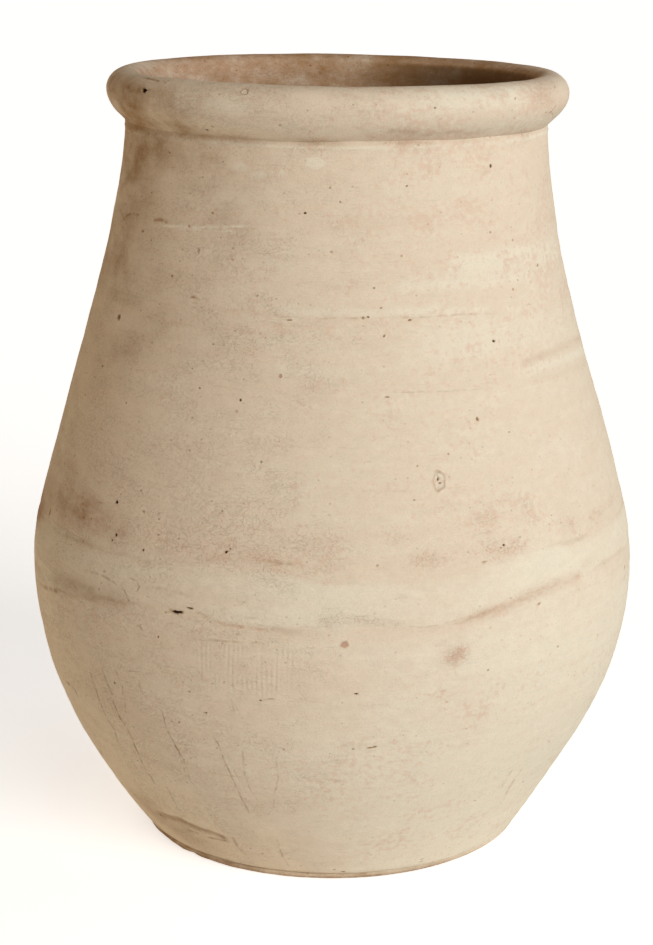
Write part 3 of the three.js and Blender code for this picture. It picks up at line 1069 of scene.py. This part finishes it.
def rim_groove_shade_and_light(turn, height, cloth):
    """Painted shade with grime in the groove under the roll, darker on the left, painted light on the roll's
    underside, and a painted highlight on the small ledge just below it.
    """
    patchy = 0.6 + 0.4 * ring_noise(turn, height, 23, 0.05, 51)
    leftward = 0.5 - 0.5 * rightness(turn)
    # Painted shade in the groove, with grime, darker on the left, away from the key lamp
    cloth["dirt"] += (0.08 + 0.26 * leftward) * patchy * bell(height - RIM_LEVEL + 0.5 * MM, 3 * MM)
    # Painted light that lifts the shade on the roll's underside, less on the left
    cloth["bloom"] += 0.5 * (1 - leftward) * bell(height - RIM_LEVEL - 8 * MM, 6 * MM)
    # Painted highlight along the top of the small ledge under the groove
    cloth["bloom"] += 1.2 * patchy * bell(height - RIM_LEVEL + 5 * MM, 1.2 * MM)
    cloth["relief"] += 0.7 * MM * bell(height - RIM_LEVEL, 2.5 * MM)
    cloth["relief"] += 0.9 * MM * patchy * bell(height - RIM_LEVEL + 5 * MM, 1.4 * MM)


class WallRelief:
    """Dents, throwing ridges, the flat on the right and the slip over the belly joint."""

    def __init__(self, lens):
        self.shape = lens.shape
        self.slip_top = Course(lens, SLIP_TOP)
        self.slip_foot = Course(lens, SLIP_FOOT)

    def __call__(self, turn, base, depth_in, cloth):
        shape = self.shape
        height = base[:, 2]
        dents = ring_noise(turn, height, 9, 0.07, 11) + 0.5 * ring_noise(turn, height, 17, 0.03, 12)
        ridges = 0.6 * ring_noise(turn, height, 5, 0.009, 13) + 0.4 * ring_noise(turn, height, 9, 0.004, 14)
        rightward = rightness(turn)
        flat = fade(1.6 * rightward - 0.5) * bell(height - 0.062, 0.05)
        tuck = bell(height - 0.05, 0.04)
        ledge = fade(0.9 - 1.1 * rightward) * bell(height - LEDGE_LEVEL, 1.6 * MM)
        outside = (
            shape.dent_depth * dents + shape.ridge_depth * ridges
            - shape.flat_side * flat - 0.0012 * tuck - 0.8 * MM * ledge
        )
        inside = (
            0.5 * shape.dent_depth * dents
            + 2.0 * shape.ridge_depth * ring_noise(turn, height, 4, 0.012, 15)
        )
        cloth["relief"] += outside * (1 - depth_in) + inside * depth_in
        outer = 1 - depth_in
        self.slip(turn, height, outer, cloth)
        rim_groove_shade_and_light(turn, height, cloth)
        weathering(turn, height, cloth)
        # Painted shade with grime in the groove just above the foot, on the left and at the front
        cloth["dirt"] += 0.3 * outer * ledge * fade(0.7 + ring_noise(turn, height, 40, 0.05, 54))
        inside_shade_and_grime(turn, depth_in, cloth)

    def slip(self, turn, height, outer, cloth):
        """The pale band of slip, with uneven edges where dust has settled."""
        ragged = (
            1.4 * MM * ring_noise(turn, height, 150, 0.004, 42)
            + 2.5 * MM * ring_noise(turn, height, 47, 0.009, 44)
        )
        below = self.slip_top.height_at(turn) - height + ragged
        above = height - self.slip_foot.height_at(turn) + ragged
        band = fade(below / (5 * MM)) * fade(above / (3.5 * MM)) * outer
        covered = 0.75 + 0.5 * ring_noise(turn, height, 23, 0.05, 45)
        cloth["relief"] += self.shape.slip_lift * band
        cloth["bloom"] += 0.38 * covered * band
        cloth["blush"] -= 0.3 * band
        patchy = fade(0.5 + 1.2 * ring_noise(turn, height, 27, 0.03, 43))
        cloth["dirt"] += 0.2 * outer * patchy * bell(below + 1 * MM, 1.4 * MM)
        cloth["dirt"] += 0.16 * outer * (1 - patchy) * bell(above + 1 * MM, 1.4 * MM)


def rim_relief(turn, base, depth_in, cloth):
    """The uneven roll of the rim."""
    shape = bpy.context.scene.jar_shape
    height = base[:, 2]
    swell = ring_noise(turn, height, 11, 0.02, 21) + 0.5 * ring_noise(turn, height, 37, 0.008, 22)
    cloth["relief"] += 0.8 * shape.dent_depth * swell
    rim_groove_shade_and_light(turn, height, cloth)
    weathering(turn, height, cloth)
    cloth["dirt"] += 0.07 * fade((height - JAR_TOP) / (10 * MM) + 1.8)
    # The inside's painted shade is carried up the far side of the lip to the crest
    far = fade(1.2 * np.sin(2 * math.pi * turn))
    inside_shade_and_grime(turn, np.maximum(depth_in, 0.6 * far * fade((height - JAR_TOP) / (10 * MM) + 1)), cloth)


def foot_relief(turn, base, depth_in, cloth):
    """The rough edge of the foot, with grime and painted shade on it. Its underside stays flat."""
    height = base[:, 2]
    outer = fade((np.hypot(base[:, 0], base[:, 1]) - FOOT_RADIUS) / MM + 3)
    edge = np.clip(height / (1.5 * MM), 0, 1) * outer
    rough = ring_noise(turn, height, 60, 0.003, 61) + 0.7 * ring_noise(turn, height, 170, 0.002, 62)
    cloth["relief"] += 0.5 * MM * rough * edge
    leftward = fade(0.75 - 0.9 * rightness(turn))
    rightward = fade(1.5 * rightness(turn) - 0.35)
    cloth["relief"] -= bpy.context.scene.jar_shape.foot_lip * rightward * edge
    # Painted shade with grime on the foot's dark left side
    cloth["dirt"] += leftward * (0.16 + 0.34 * fade(rough))
    # Painted shadow along the foot's edge, darkest where it meets the floor, less on the right
    cloth["dirt"] += outer * (0.16 + 0.5 * bell(height, 3 * MM)) * (1 - 0.7 * rightward)
    cloth["wear"] += 1


def finish_piece(piece, node, material):
    piece.data.materials.append(material)
    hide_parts(node)
    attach(piece, "root")


class Value:
    """A number in a material, so that shader maths reads as plain sums."""

    def __init__(self, tree, socket):
        self.tree = tree
        self.socket = socket

    def combined(self, operation, *values, clamp=False):
        settings = {"operation": operation, "use_clamp": clamp}
        made = self.tree.node("ShaderNodeMath", settings, dict(enumerate(values)))
        return Value(self.tree, made.outputs[0])

    def __add__(self, other):
        return self.combined("ADD", self, other)

    __radd__ = __add__

    def __sub__(self, other):
        return self.combined("SUBTRACT", self, other)

    def __rsub__(self, other):
        return self.combined("SUBTRACT", other, self)

    def __mul__(self, other):
        return self.combined("MULTIPLY", self, other)

    __rmul__ = __mul__

    def size(self):
        return self.combined("ABSOLUTE", self)

    def clamped(self):
        return self.combined("ADD", self, 0, clamp=True)

    def between(self, low, high):
        """A smooth step from 0 at low to 1 at high."""
        settings = {"interpolation_type": "SMOOTHSTEP"}
        sockets = {"Value": self, "From Min": low, "From Max": high, "To Min": 0, "To Max": 1}
        made = self.tree.node("ShaderNodeMapRange", settings, sockets)
        return Value(self.tree, made.outputs[0])


class Tree:
    """The nodes of a material or of the room."""

    def __init__(self, tree):
        self.nodes = tree.nodes
        self.links = tree.links
        self.nodes.clear()

    def node(self, kind, settings=None, sockets=None):
        """A node of a kind, with its settings and then the values or links of its sockets."""
        made = self.nodes.new(kind)
        for key, value in (settings or {}).items():
            setattr(made, key, value)
        for key, value in (sockets or {}).items():
            value = value.socket if isinstance(value, Value) else value
            if isinstance(value, bpy.types.NodeSocket):
                self.links.new(value, made.inputs[key])
            else:
                made.inputs[key].default_value = value
        return made

    def painted(self, name):
        """A number that the mesh carries from point to point."""
        return Value(self, self.node("ShaderNodeAttribute", {"attribute_name": name}).outputs["Fac"])

    def stretched(self, place, stretch):
        """Places counted in patches. The stretch gives how many patches go into a metre each way."""
        return self.node("ShaderNodeVectorMath", {"operation": "MULTIPLY"}, {0: place, 1: stretch}).outputs[0]

    def noise(self, place, stretch, detail=2.0, roughness=0.5):
        """Noise around 0, mostly within a half either way."""
        sockets = {
            "Vector": self.stretched(place, stretch), "Scale": 1.0, "Detail": detail, "Roughness": roughness,
        }
        return (Value(self, self.node("ShaderNodeTexNoise", {}, sockets).outputs[0]) - 0.5) * 3

    def specks(self, place, stretch, size, share):
        """Round specks, 1 in the middle, in a share of the cells."""
        sockets = {"Vector": self.stretched(place, stretch), "Scale": 1.0}
        cells = self.node("ShaderNodeTexVoronoi", {}, sockets)
        chance = self.node("ShaderNodeSeparateColor", {}, {0: cells.outputs["Color"]})
        chosen = Value(self, chance.outputs[0]).between(1 - share, 1.02 - share)
        return (size - Value(self, cells.outputs["Distance"])).between(0, 0.6 * size) * chosen

    def mix(self, amount, first, second, mode="MIX"):
        """A colour between two colours."""
        settings = {"data_type": "RGBA", "blend_type": mode}
        return self.node("ShaderNodeMix", settings, {0: amount, 6: first, 7: second}).outputs[2]


def opaque(colour):
    return tuple(colour) + (1.0,)


def clay_look(name, finish, warmth):
    """Fired clay with bloom, streaks, grime, painted shade and light, and grain. Warmth moves it from cream
    towards blush.
    """
    material = bpy.data.materials.new(name)
    material.use_nodes = True
    tree = Tree(material.node_tree)
    place = tree.node("ShaderNodeTexCoord").outputs["Object"]
    blotch = tree.noise(place, (8, 8, 13), 4.0, 0.55)
    cloud = tree.noise(place, (30, 30, 44), 4.0, 0.6)
    wide_streak = tree.noise(place, (5, 5, 60), 5.0, 0.6)
    fine_streak = tree.noise(place, (32, 32, 330), 3.0, 0.6)
    dash = tree.noise(place, (110, 110, 720), 2.0, 0.5)
    mottle = tree.noise(place, (90, 90, 150), 5.0, 0.65)
    hue = tree.noise(place, (210, 210, 260), 3.0, 0.6)
    grain = tree.noise(place, (800, 800, 1000), 3.0, 0.7)
    curl = tree.noise(place, (250, 250, 340), 2.0, 0.5)
    bloom = tree.painted("bloom")
    blush = tree.painted("blush")
    dirt = tree.painted("dirt")
    rust = tree.painted("rust")
    wear = tree.painted("wear")

    pale = bloom + blotch * 0.45 + cloud * 0.2 + wide_streak * 0.26 + mottle * 0.25 - warmth
    colour = tree.mix(pale.between(-0.3, 0.6), opaque(finish.clay), opaque(finish.cream))
    patch = blush + blush * cloud * 1.2 + blush * mottle * 0.6
    pink = patch - wide_streak * 0.24 + blotch * 0.5 + cloud * 0.36 + hue + mottle * 0.2 + warmth
    colour = tree.mix(pink.between(0, 1.0) * 0.75, colour, opaque(finish.blush))
    line = (fine_streak + dash * 0.7).between(0.35, 1.0)
    colour = tree.mix(line * 0.4, colour, opaque(finish.cream))
    dark_line = (-0.2 - fine_streak - dash * 0.7).between(0.15, 0.8)
    colour = tree.mix(dark_line * (0.08 + wear * 0.1), colour, opaque(finish.umber))
    worm = (0.14 - curl.size()).between(0, 0.14) * (cloud * 0.8 + wear - 0.3).between(0, 0.9)
    speck = tree.specks(place, (130, 130, 170), 0.16, 0.35)
    fleck = tree.specks(place, (60, 60, 75), 0.1, 0.25)
    stipple = tree.specks(place, (330, 330, 400), 0.26, 0.5)
    grit = speck * (0.2 + blush * 0.3 + dirt * 0.8 + wear * 0.2) + fleck * 0.5 + worm * 0.2
    grit = grit + stipple * (blush * 0.16 + wear * 0.1 + wear * cloud.clamped() * 0.3)
    colour = tree.mix(grit.clamped(), colour, opaque(finish.umber))
    chip = tree.specks(place, (240, 240, 420), 0.22, 0.3)
    colour = tree.mix((chip * (0.16 + wear * 0.6)).clamped(), colour, opaque(finish.cream))
    colour = tree.mix((rust + rust * mottle * 0.6).clamped() * 0.85, colour, opaque(finish.rust))
    # Umber over the grime and the painted shade, and soot where the painted shade is deepest
    loose = dirt * (1.2 - dirt)
    grime_and_shade = dirt + loose * mottle * 0.9 + loose * cloud * 1.1 + loose * blotch * 0.5
    colour = tree.mix(grime_and_shade.clamped() * 0.9, colour, opaque(finish.umber))
    colour = tree.mix(dirt.between(0.75, 1.05), colour, opaque(finish.soot))
    shade = 0.97 + grain * (0.07 + wear * 0.05) + mottle * (0.03 + wear * 0.03) + hue * 0.03
    tone = tree.node("ShaderNodeCombineColor", {}, {0: shade, 1: shade, 2: shade}).outputs[0]
    colour = tree.mix(1.0, colour, tone, "MULTIPLY")

    height = grain * 0.14 + fine_streak * 0.1 + dash * 0.1 + mottle * 0.3 - speck * 0.3 - fleck * 0.5
    height = height - worm * 0.5 - stipple * wear * 0.2
    grain_sockets = {"Strength": GRAIN_STRENGTH, "Distance": GRAIN_HEIGHT, "Height": height}
    bump = tree.node("ShaderNodeBump", {}, grain_sockets)
    sockets = {
        "Base Color": colour,
        "Roughness": finish.roughness + pale.clamped() * 0.06,
        "Normal": bump.outputs[0],
        "Specular IOR Level": SPECULAR,
    }
    shader = tree.node("ShaderNodeBsdfPrincipled", {}, sockets)
    tree.node("ShaderNodeOutputMaterial", {}, {"Surface": shader.outputs[0]})
    return material


def shared_clay(name, warmth):
    """The clay of that name, made once."""
    made = bpy.data.materials.get(name)
    return made or clay_look(name, bpy.context.scene.jar_finish, warmth)


def wall_rows(shape, low, high, groove):
    """Rows round a ring of wall between two joints. A groove is cut where it stands on another ring."""
    wall_height, wall_radius = outside_curve(shape)
    levels = np.linspace(low, high, LEVEL_STEPS)
    radii = np.interp(levels, wall_height, wall_radius)
    wall = shape.wall
    rows = Rows()
    rows.stretch(radii, levels, ROW_STEP, Rows.OUTSIDE, (0, 0))
    top = radii[-1]
    rows.stretch([top, top - wall / 2], [high, high + TONGUE], JOINT_STEP, Rows.JOINT, (0, 0.5))
    rows.stretch([top - wall / 2, top - wall], [high + TONGUE, high], JOINT_STEP, Rows.JOINT, (0.5, 1))
    rows.stretch(radii[::-1] - wall, levels[::-1], INSIDE_STEP, Rows.INSIDE, (1, 1))
    foot = radii[0]
    if groove:
        rows.stretch([foot - wall, foot - wall / 2], [low, low + TONGUE], JOINT_STEP, Rows.JOINT, (1, 0.5))
        rows.stretch([foot - wall / 2, foot], [low + TONGUE, low], JOINT_STEP, Rows.JOINT, (0.5, 0))
    else:
        rows.stretch([foot - wall, foot], [low, low], JOINT_STEP, Rows.JOINT, (1, 0))
    return rows


def rim_rows(shape):
    """Rows round the rolled rim, from the groove over the crest and down to the joint."""
    (roll_radius, roll_height), (lip_radius, lip_height) = rim_curves(shape, RIM_STEPS)
    mouth = shape.neck_radius - shape.wall
    middle = shape.neck_radius - shape.wall / 2
    rows = Rows()
    rows.stretch(roll_radius, roll_height, ROW_STEP, Rows.OUTSIDE, (0, 0))
    rows.stretch(lip_radius, lip_height, ROW_STEP, Rows.OUTSIDE, (0, 0.9))
    rows.stretch([mouth, mouth], [lip_height[-1], RIM_LEVEL], 2 * ROW_STEP, Rows.INSIDE, (0.9, 1))
    rows.stretch([mouth, middle], [RIM_LEVEL, RIM_LEVEL + TONGUE], JOINT_STEP, Rows.JOINT, (1, 0.5))
    rows.stretch(
        [middle, shape.neck_radius], [RIM_LEVEL + TONGUE, RIM_LEVEL], JOINT_STEP, Rows.JOINT, (0.5, 0),
    )
    return rows


def foot_rows(shape):
    """Rows from the middle of the foot's underside round its edge to the middle of its top."""
    edge = LEDGE_LEVEL / 2
    edge_radius = FOOT_RADIUS + shape.foot_lip - edge
    half = np.linspace(-math.pi / 2, math.pi / 2, 14)
    plug = FOOT_RADIUS - shape.wall
    plug_top = plug + 5 * MM
    rows = Rows(closed=False)
    rows.stretch([0, edge_radius], [0, 0], JOINT_STEP, Rows.INSIDE)
    rows.stretch(
        edge_radius + edge * np.cos(half), edge + edge * np.sin(half), 0.5 * ROW_STEP, Rows.OUTSIDE,
    )
    rows.stretch([edge_radius, plug], [2 * edge, 2 * edge], JOINT_STEP, Rows.JOINT)
    rows.stretch([plug, plug_top], [2 * edge, FOOT_TOP], JOINT_STEP, Rows.JOINT)
    rows.stretch([plug_top, 0], [FOOT_TOP, FOOT_TOP], JOINT_STEP, Rows.INSIDE)
    return rows


def scene_lens():
    scene = bpy.context.scene
    return Lens(scene.jar_stage, scene.jar_shape)


class JAR_OT_foot(bpy.types.Operator):
    """Make the foot slab"""

    bl_idname = "jar.foot"
    bl_label = "Foot"

    def execute(self, context):
        rows = foot_rows(context.scene.jar_shape)
        piece = swept_section("foot", rows, seen_marks(scene_lens()), foot_relief, 3, 0.25)
        finish_piece(piece, "foot_slab", shared_clay("clay_wall", 0.0))
        return {"FINISHED"}


class JAR_OT_walls(bpy.types.Operator):
    """Make the bowl, the belly band, the shoulder and the neck"""

    bl_idname = "jar.walls"
    bl_label = "Walls"

    def execute(self, context):
        shape = context.scene.jar_shape
        lens = scene_lens()
        marks = seen_marks(lens) + hidden_marks(lens)
        relief = WallRelief(lens)
        sections = (
            ("bowl", "bowl_section", LEDGE_LEVEL, BAND_LEVEL, False, "pale_clay", 2, 0.0),
            ("band", "belly_band", BAND_LEVEL, SHOULDER_LEVEL, True, "slip_clay", 4, 0.0),
            ("shoulder", "shoulder_section", SHOULDER_LEVEL, NECK_LEVEL, True, "pale_clay", 3, 0.25),
            ("neck", "neck_section", NECK_LEVEL, RIM_LEVEL, True, "pale_clay", 3, 0.25),
        )
        for name, node, low, high, groove, slot, panels, start in sections:
            rows = wall_rows(shape, low, high, groove)
            piece = swept_section(name, rows, marks, relief, panels, start)
            finish_piece(piece, node, shared_clay("clay_wall", 0.0))
        return {"FINISHED"}


class JAR_OT_rim(bpy.types.Operator):
    """Make the rolled rim"""

    bl_idname = "jar.rim"
    bl_label = "Rim"

    def execute(self, context):
        rows = rim_rows(context.scene.jar_shape)
        piece = swept_section("rim", rows, seen_marks(scene_lens()), rim_relief, 4, 0.25)
        finish_piece(piece, "rim_roll", shared_clay("clay_rim", 0.06))
        return {"FINISHED"}


class JAR_OT_stage(bpy.types.Operator):
    """Make the floor, the lamps and the camera"""

    bl_idname = "jar.stage"
    bl_label = "Stage"

    def execute(self, context):
        stage = context.scene.jar_stage
        make_floor(stage)
        make_room(stage)
        strengths = {
            "key": stage.key_light, "side": stage.side_light, "left": stage.left_light,
            "left_back": stage.left_light, "bounce": stage.bounce_light,
        }
        for name, strength in strengths.items():
            make_lamp(name, strength, *LAMPS[name])
        make_camera(stage)
        context.scene.view_settings.view_transform = "Standard"
        return {"FINISHED"}


def make_lamp(name, strength, azimuth, elevation, softness, colour):
    """A large, distant lamp at an azimuth, elevation and softness in degrees."""
    data = bpy.data.lights.new(name, "SUN")
    data.energy = strength
    data.angle = math.radians(softness)
    data.color = colour
    lamp = bpy.data.objects.new(name, data)
    lamp.rotation_euler = Euler((math.radians(90 - elevation), 0, math.radians(azimuth)))
    bpy.context.scene.collection.objects.link(lamp)


def make_floor(stage):
    """A wide pale floor that shows as white to the camera, keeps the jar's shadow and lets the bounce by."""
    body = bmesh.new()
    bmesh.ops.create_circle(body, cap_ends=True, segments=FLOOR_SIDES, radius=FLOOR_RADIUS)
    mesh = bpy.data.meshes.new("floor")
    body.to_mesh(mesh)
    body.free()
    floor = bpy.data.objects.new("floor", mesh)
    bpy.context.scene.collection.objects.link(floor)
    material = bpy.data.materials.new("floor")
    material.use_nodes = True
    tree = Tree(material.node_tree)
    seen = Value(tree, tree.node("ShaderNodeLightPath").outputs["Is Camera Ray"])
    cloth = tree.node("ShaderNodeBsdfDiffuse", {}, {"Color": opaque(stage.floor_tone)})
    glow = tree.node("ShaderNodeEmission", {}, {"Strength": seen * stage.floor_glow})
    both = tree.node("ShaderNodeAddShader", {}, {0: cloth.outputs[0], 1: glow.outputs[0]})
    tree.node("ShaderNodeOutputMaterial", {}, {"Surface": both.outputs[0]})
    mesh.materials.append(material)
    floor.visible_shadow = False


def make_room(stage):
    """Even light from all round, which the camera sees as white."""
    world = bpy.data.worlds.new("room")
    world.use_nodes = True
    tree = Tree(world.node_tree)
    seen = Value(tree, tree.node("ShaderNodeLightPath").outputs["Is Camera Ray"])
    sockets = {"Color": ROOM_COLOUR, "Strength": stage.room_light}
    room = tree.node("ShaderNodeBackground", {}, sockets)
    white = tree.node("ShaderNodeBackground", {}, {"Color": (1, 1, 1, 1)})
    both = tree.node("ShaderNodeMixShader", {}, {0: seen, 1: room.outputs[0], 2: white.outputs[0]})
    tree.node("ShaderNodeOutputWorld", {}, {"Surface": both.outputs[0]})
    bpy.context.scene.world = world


def make_camera(stage):
    """The camera at the photograph's place and angle."""
    data = bpy.data.cameras.new("camera")
    data.sensor_fit = "VERTICAL"
    data.sensor_height = stage.sensor
    data.lens = stage.focal / PHOTO_HEIGHT * stage.sensor
    data.clip_end = 100
    camera = bpy.data.objects.new("camera", data)
    camera.location = (0, -stage.distance, stage.eye_level)
    camera.rotation_euler = (math.pi / 2 - stage.pitch, 0, stage.pan)
    bpy.context.scene.collection.objects.link(camera)
    bpy.context.scene.camera = camera


class JAR_PT_sidebar(bpy.types.Panel):
    """The jar's makers, in the 3D view's sidebar"""

    bl_label = "Olive Jar"
    bl_space_type = "VIEW_3D"
    bl_region_type = "UI"
    bl_category = "Olive Jar"

    def draw(self, context):
        for maker in MAKERS:
            self.layout.operator(maker.bl_idname)


GROUPS = {"jar_shape": JarShape, "jar_finish": JarFinish, "jar_stage": JarStage}
MAKERS = (JAR_OT_foot, JAR_OT_walls, JAR_OT_rim, JAR_OT_stage)


def register():
    for group in GROUPS.values():
        bpy.utils.register_class(group)
    for name, group in GROUPS.items():
        setattr(bpy.types.Scene, name, bpy.props.PointerProperty(type=group))
    for kind in MAKERS + (JAR_PT_sidebar,):
        bpy.utils.register_class(kind)


def unregister():
    for kind in MAKERS + (JAR_PT_sidebar,):
        bpy.utils.unregister_class(kind)
    for name, group in GROUPS.items():
        delattr(bpy.types.Scene, name)
        bpy.utils.unregister_class(group)


def main():
    register()
    bpy.ops.jar.foot()
    bpy.ops.jar.walls()
    bpy.ops.jar.rim()
    bpy.ops.jar.stage()


if __name__ == "__main__":
    main()
